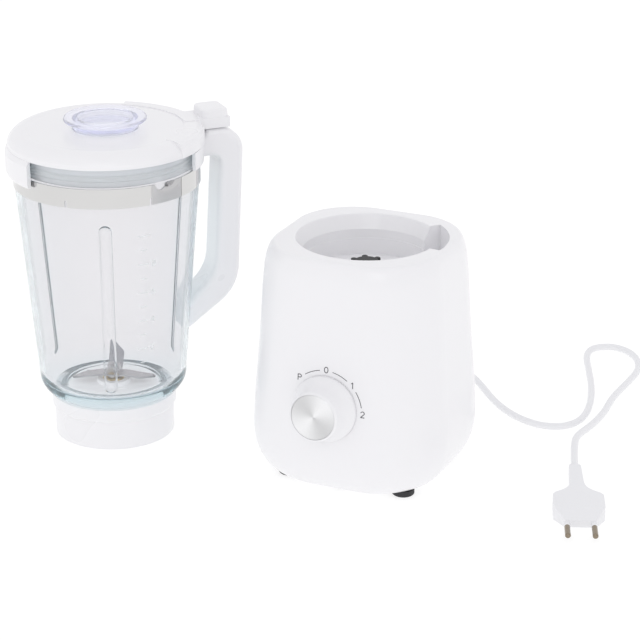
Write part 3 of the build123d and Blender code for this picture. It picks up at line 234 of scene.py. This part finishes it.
def clear(name, colour, tint, density, rough, ior, through):
    """Clear solid, tinted by depth; light that falls on what is inside passes it straight."""
    paint, shader = new_material(name)
    tree = paint.node_tree
    haze = between(tree, noise(tree, HAZE_SCALE), rough * 0.6, rough * 1.4)
    tree.links.new(haze, shader.inputs["Roughness"])
    bump(tree, shader, noise(tree, WAVE_SCALE, 1.0), WAVE_HEIGHT)
    socket_set(shader, Base_Color=(*colour, 1), Transmission_Weight=through, IOR=ior)
    depth = tree.nodes.new("ShaderNodeVolumeAbsorption")
    depth.inputs["Color"].default_value = (*tint, 1)
    depth.inputs["Density"].default_value = density
    end = tree.nodes["Material Output"]
    tree.links.new(depth.outputs["Volume"], end.inputs["Volume"])
    path = tree.nodes.new("ShaderNodeLightPath")
    unseen = tree.nodes.new("ShaderNodeMath")
    unseen.operation = "MAXIMUM"
    tree.links.new(path.outputs["Is Shadow Ray"], unseen.inputs[0])
    tree.links.new(path.outputs["Is Diffuse Ray"], unseen.inputs[1])
    straight = tree.nodes.new("ShaderNodeBsdfTransparent")
    mix = tree.nodes.new("ShaderNodeMixShader")
    tree.links.new(unseen.outputs["Value"], mix.inputs["Fac"])
    tree.links.new(shader.outputs["BSDF"], mix.inputs[1])
    tree.links.new(straight.outputs["BSDF"], mix.inputs[2])
    tree.links.new(mix.outputs["Shader"], end.inputs["Surface"])
    return paint


WHITE = (0.87, 0.865, 0.885)
PAINTS = {
    "white_shell": moulded("white_shell", WHITE, 0.28, Coat_Weight=0.3, Coat_Roughness=0.12),
    "white_knob": moulded("white_knob", WHITE, 0.3, Coat_Weight=0.2, Coat_Roughness=0.15),
    "jug_glass": clear("jug_glass", (0.935, 0.90, 0.908), (0.25, 0.74, 0.84), 15.0, 0.01, 1.30, 0.92),
    "chrome_trim": metal("chrome_trim", (0.67, 0.665, 0.66), 0.05, 0.0000001, 20.0, fade=0.98),
    "clear_plastic": clear("clear_plastic", (0.96, 0.96, 1.0), (0.35, 0.40, 0.98), 12.0, 0.06, 1.25, 0.75),
    "white_rubber": moulded("white_rubber", (0.78, 0.78, 0.79), 0.6),
    "dark_rubber": moulded("dark_rubber", (0.025, 0.025, 0.028), 0.62, 0.00004),
    "black_plastic": moulded("black_plastic", (0.018, 0.018, 0.02), 0.5),
    "carbon": moulded("carbon", (0.02, 0.02, 0.02), 0.7),
    "white_switch": moulded("white_switch", (0.84, 0.84, 0.86), 0.35),
    "copper": metal("copper", (0.72, 0.36, 0.18), 0.3, 0.00004, 1400.0, (0.1, 0.1, 1)),
    "core_steel": metal("core_steel", (0.30, 0.31, 0.33), 0.4, 0.00004, 900.0, (0.05, 0.05, 1)),
    "cast_metal": metal("cast_metal", (0.60, 0.60, 0.61), 0.45, 0.00008, 500.0),
    "steel": metal("steel", (0.56, 0.56, 0.57), 0.25, 0.00001, 900.0, (0.2, 0.2, 1)),
    "blade_steel": metal("blade_steel", (0.50, 0.50, 0.51), 0.22, 0.00001, 1200.0, (1, 0.15, 1)),
    "bush_brass": metal("bush_brass", (0.72, 0.56, 0.28), 0.3),
    # its faint glow stands for the light that the glass gathers on the jar's floor
    "white_carrier": moulded("white_carrier", (0.86, 0.86, 0.87), 0.35, Emission_Color=(1, 1, 1, 1),
                             Emission_Strength=0.14),
    "cord_sheath": moulded("cord_sheath", (0.84, 0.84, 0.86), 0.45, 0.00003),
    "pin_brass": metal("pin_brass", (0.30, 0.25, 0.19), 0.22),
}


RING_SCALE = 1200.0                      # turned rings on the disc, per metre
# painted reflection: bright fans of colour round the disc, darker colour between them, standing in for the
# shine of turned metal
REFLECTION_FAN_COUNT, REFLECTION_FAN_DIM = 2, 0.74             # bright fans round the disc, and how dark it is between them


def brushed_disc():
    """Turned aluminium: fine rings round the knob's axis, and fans of painted reflection across them,
    bright and dark sectors painted into its colour.
    """
    paint, shader = new_material("brushed_disc")
    tree = paint.node_tree
    centre = middle("knob_disc")
    place = tree.nodes.new("ShaderNodeTexCoord")
    shift = tree.nodes.new("ShaderNodeMapping")
    shift.inputs["Location"].default_value = (-centre.x, -centre.y, -centre.z)
    rings = tree.nodes.new("ShaderNodeTexWave")
    rings.wave_type = "RINGS"
    rings.rings_direction = "Y"
    rings.inputs["Scale"].default_value = RING_SCALE
    rings.inputs["Distortion"].default_value = 1.2
    rings.inputs["Detail"].default_value = 3.0
    tree.links.new(place.outputs["Object"], shift.inputs["Vector"])
    tree.links.new(shift.outputs["Vector"], rings.inputs["Vector"])
    reflection_fans = tree.nodes.new("ShaderNodeMapping")
    reflection_fans.vector_type = "TEXTURE"
    reflection_fans.inputs["Location"].default_value = centre
    reflection_fans.inputs["Rotation"].default_value = (math.radians(90.0), 0.0, 0.0)
    around = tree.nodes.new("ShaderNodeTexGradient")
    around.gradient_type = "RADIAL"
    tree.links.new(place.outputs["Object"], reflection_fans.inputs["Vector"])
    tree.links.new(reflection_fans.outputs["Vector"], around.inputs["Vector"])
    # painted reflection: a sine of the angle round the knob's axis lightens and darkens sectors of the
    # disc's colour
    swing = tree.nodes.new("ShaderNodeMath")
    swing.operation = "MULTIPLY"
    swing.inputs[1].default_value = REFLECTION_FAN_COUNT * 2 * math.pi
    wave = tree.nodes.new("ShaderNodeMath")
    wave.operation = "SINE"
    tree.links.new(around.outputs["Fac"], swing.inputs[0])
    tree.links.new(swing.outputs["Value"], wave.inputs[0])
    painted_sheen = between(tree, wave.outputs["Value"], REFLECTION_FAN_DIM, 1.0)
    painted_sheen.node.inputs["From Min"].default_value = -1.0
    # the rings' colour is multiplied by the painted reflection fans
    tone = tree.nodes.new("ShaderNodeMixRGB")
    tone.blend_type = "MULTIPLY"
    tone.inputs["Fac"].default_value = 1.0
    lines = ramp(tree, rings.outputs["Fac"], (0.80, 0.80, 0.81), (0.95, 0.95, 0.96), 0.2, 0.8)
    tree.links.new(lines, tone.inputs["Color1"])
    tree.links.new(painted_sheen, tone.inputs["Color2"])
    tree.links.new(tone.outputs["Color"], shader.inputs["Base Color"])
    bump(tree, shader, rings.outputs["Fac"], 0.00001)
    tangent = tree.nodes.new("ShaderNodeTangent")
    tangent.direction_type = "RADIAL"
    tangent.axis = "Y"
    tree.links.new(tangent.outputs["Tangent"], shader.inputs["Tangent"])
    socket_set(shader, Metallic=1.0, Roughness=0.28, Anisotropic=0.85)
    return paint


PAINTS["brushed_disc"] = brushed_disc()


def paint_nodes():
    """Every CAD node takes the material of its slot in the record."""
    for subpart in frame["record"]["subparts"]:
        node = NODES[subpart["node"]]
        for place in node.material_slots:
            place.material = PAINTS[subpart["material_slot"]]


# ---------------------------------------------------------------- power cord, in millimetres
CORD_WIDE = 5.2
CORD_LOW = 2.65                          # its middle where it lies on the floor
GLAND_GRIP = 6.0                         # how far it reaches into the gland
ROUTE = [
    (76.0, 0, 26.0), (76.0, 120.0, 25.0), (75.5, 137.0, 17.0), (72.5, 157.0, 5.5), (69.5, 181.5, CORD_LOW),
    (84.7, 196.8, CORD_LOW), (106.3, 196.8, CORD_LOW), (122.0, 181.0, CORD_LOW), (136.0, 163.0, CORD_LOW),
    (151.5, 145.0, CORD_LOW), (171.0, 129.5, CORD_LOW), (192.0, 121.5, CORD_LOW), (209.0, 126.0, CORD_LOW),
    (218.0, 142.0, CORD_LOW), (216.5, 169.0, CORD_LOW), (206.0, 207.0, CORD_LOW), (190.0, 246.0, CORD_LOW),
    (180.5, 269.0, CORD_LOW), (179.5, 287.0, CORD_LOW), (194.0, 297.5, CORD_LOW), (211.0, 291.0, CORD_LOW),
    (223.0, 274.5, CORD_LOW), (228.5, 255.0, CORD_LOW), (228.0, 228.0, CORD_LOW), (226.0, 197.0, CORD_LOW),
    (229.5, 164.0, CORD_LOW), (228.0, 137.0, CORD_LOW), (223.6, 114.6, CORD_LOW), (228.8, 95.6, CORD_LOW),
    (236.1, 73.7, CORD_LOW + 1.2), (242.8, 54.1, 5.5),
]


def make_cord():
    """Lead from inside the gland to the plug, as one smooth spline."""
    start_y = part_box("cord_gland")[1][1] / MM - GLAND_GRIP
    points = [(ROUTE[0][0], start_y, ROUTE[0][2])] + ROUTE[1:]
    curve = bpy.data.curves.new("power_cord_sheath", "CURVE")
    curve.dimensions = "3D"
    run = curve.splines.new("NURBS")
    run.points.add(len(points) - 1)
    for point, place in zip(run.points, points):
        point.co = (place[0] * MM, place[1] * MM, place[2] * MM, 1.0)
    run.order_u = 3
    run.use_endpoint_u = True
    run.resolution_u = 12
    curve.bevel_depth = CORD_WIDE / 2 * MM
    curve.bevel_resolution = 5
    curve.use_fill_caps = True
    curve.materials.append(PAINTS["cord_sheath"])
    cord = bpy.data.objects.new("power_cord_sheath", curve)
    bpy.context.collection.objects.link(cord)
    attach(cord, "base")
    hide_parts("power_cord")


# ---------------------------------------------------------------- printed marks, in millimetres and degrees
DIAL_INK = moulded("dial_ink", (0.06, 0.06, 0.07), 0.5)
SCALE_INK = moulded("scale_ink", (0.82, 0.84, 0.85), 0.5)
INK_UP, INK_DOWN = 0.08, -0.05           # a mark's outer and inner side, off the surface it is printed on
ABOVE = 40.0                             # marks are dropped on the housing from this far off

DIAL_LEAN = 3.65                         # lean of the housing's front
DIAL_R, DIAL_WIDE = 28.0, 0.55
DIAL_SIGNS = (("P", -45), ("0", 0), ("1", 45), ("2", 90))
ARC_INSET, ARC_WIDE, ARC_FROM, ARC_TO = 0.6, 0.45, 10, 35

SCALE_TURN, SCALE_LOW, SCALE_STEP, SCALE_MARKS = -38.0, 72.0, 11.0, 10
SCALE_R, SCALE_REACH = 60.0, 90.0        # the glass's rough radius, and where its marks are dropped from
SCALE_WIDE, SCALE_LONG, SCALE_SHORT = 0.6, 4.0, 2.2
FIGURES, FIGURE_ASIDE, FIGURE_SIZE = ((1, "2"), (3, "4"), (5, "6"), (7, "8")), 7.5, 0.9


def arc(middle_u, middle_v, radius_u, radius_v, start, end, steps=14):
    """Flat points along part of an ellipse; angles run clockwise from the top, in degrees."""
    turns = [math.radians(start + (end - start) * step / steps) for step in range(steps + 1)]
    return [(middle_u + radius_u * math.sin(turn), middle_v + radius_v * math.cos(turn)) for turn in turns]


def line(start, end, steps=6):
    """Flat points along a straight stroke."""
    return [(start[0] + (end[0] - start[0]) * step / steps, start[1] + (end[1] - start[1]) * step / steps)
            for step in range(steps + 1)]


SIGNS = {
    "P": [line((-1.2, -2.2), (-1.2, 2.2)),
          line((-1.2, 2.0), (0.2, 2.0), 2) + arc(0.2, 0.95, 1.1, 1.05, 10, 170)
          + line((0.0, -0.1), (-1.2, -0.1), 2)],
    "0": [arc(0, 0, 1.35, 2.05, 0, 360, 24)],
    "1": [line((-0.8, 1.3), (0.3, 2.2), 2), line((0.3, 2.2), (0.3, -2.2))],
    "2": [arc(0, 1.0, 1.25, 1.2, -80, 110) + line((0.9, 0.2), (-1.3, -2.0)),
          line((-1.4, -2.05), (1.4, -2.05))],
    "4": [line((0.5, -2.2), (0.5, 2.2)), line((0.5, 2.2), (-1.4, -0.9)), line((-1.4, -0.9), (1.3, -0.9))],
    "6": [arc(0, -0.8, 1.25, 1.3, 0, 360, 20), arc(0.6, -0.8, 1.8, 3.0, -90, -5)],
    "8": [arc(0, 1.1, 1.0, 1.0, 0, 360, 18), arc(0, -1.05, 1.25, 1.1, 0, 360, 18)],
}


def ribbon(build, path, wide, lay):
    """Closed strip along a flat path; lay puts a flat point on the surface, lifted off it."""
    rings = []
    for before, here, after in zip([path[0]] + path, path, path[1:] + [path[-1]]):
        along = Vector((after[0] - before[0], after[1] - before[1])).normalized()
        aside = Vector((-along.y, along.x)) * wide / 2
        corners = []
        for side, lift in ((1, INK_UP), (-1, INK_UP), (-1, INK_DOWN), (1, INK_DOWN)):
            corners.append(build.verts.new(lay(here[0] + side * aside.x, here[1] + side * aside.y, lift)))
        rings.append(corners)
    for one, two in zip(rings, rings[1:]):
        for corner in range(4):
            turn = (corner + 1) % 4
            build.faces.new((one[corner], one[turn], two[turn], two[corner]))
    build.faces.new(rings[0])
    build.faces.new(rings[-1])


def print_marks(name, strokes, lay, body, ink):
    """One piece from many strokes: each is a path and a width."""
    build = bmesh.new()
    for path, wide in strokes:
        ribbon(build, path, wide, lay)
    bmesh.ops.recalc_face_normals(build, faces=build.faces)
    mesh = bpy.data.meshes.new(name)
    build.to_mesh(mesh)
    build.free()
    mesh.materials.append(ink)
    marks = bpy.data.objects.new(name, mesh)
    bpy.context.collection.objects.link(marks)
    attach(marks, body)


def shifted(path, u, v, size=1.0):
    """A path grown or shrunk, then moved to a place."""
    return [(u + size * x, v + size * y) for x, y in path]


def dial_marks():
    """P, 0, 1 and 2 round the knob, with an arc between each two."""
    housing = surface("housing")
    centre = middle("knob_disc")
    lean = math.radians(DIAL_LEAN)
    out = Vector((0, -math.cos(lean), math.sin(lean)))
    rise = Vector((0, math.sin(lean), math.cos(lean)))

    def lay(u, v, lift):
        start = centre + Vector((u * MM, 0, 0)) + rise * v * MM + out * ABOVE * MM
        return housing.ray_cast(start, -out)[0] + out * lift * MM

    strokes = []
    for sign, turn in DIAL_SIGNS:
        u, v = DIAL_R * math.sin(math.radians(turn)), DIAL_R * math.cos(math.radians(turn))
        strokes += [(shifted(path, u, v), DIAL_WIDE) for path in SIGNS[sign]]
    arc_r = DIAL_R - ARC_INSET
    for _, turn in DIAL_SIGNS[:-1]:
        strokes.append((arc(0, 0, arc_r, arc_r, turn + ARC_FROM, turn + ARC_TO), ARC_WIDE))
    print_marks("dial_marks", strokes, lay, "base", DIAL_INK)


def jug_scale():
    """Printed measure on the glass: a line at each step, and a figure at every second one."""
    glass = surface("glass_jug")
    axis = middle("jar_coupler")

    def lay(u, v, lift):
        turn = math.radians(SCALE_TURN) + u / SCALE_R
        out = Vector((math.cos(turn), math.sin(turn), 0))
        start = Vector((axis.x, axis.y, v * MM)) + out * SCALE_REACH * MM
        return glass.ray_cast(start, -out)[0] + out * lift * MM

    strokes = []
    for step in range(SCALE_MARKS):
        height = SCALE_LOW + SCALE_STEP * step
        half = SCALE_LONG if step % 2 else SCALE_SHORT
        strokes.append((line((-half, height), (half, height)), SCALE_WIDE))
    for step, sign in FIGURES:
        height = SCALE_LOW + SCALE_STEP * step
        strokes += [(shifted(path, FIGURE_ASIDE, height, FIGURE_SIZE), SCALE_WIDE) for path in SIGNS[sign]]
    print_marks("jug_scale", strokes, lay, "jar", SCALE_INK)


# ---------------------------------------------------------------- the scene, then the end
make_camera()
make_studio()
make_light()
make_floor()
paint_nodes()
make_cord()
dial_marks()
jug_scale()
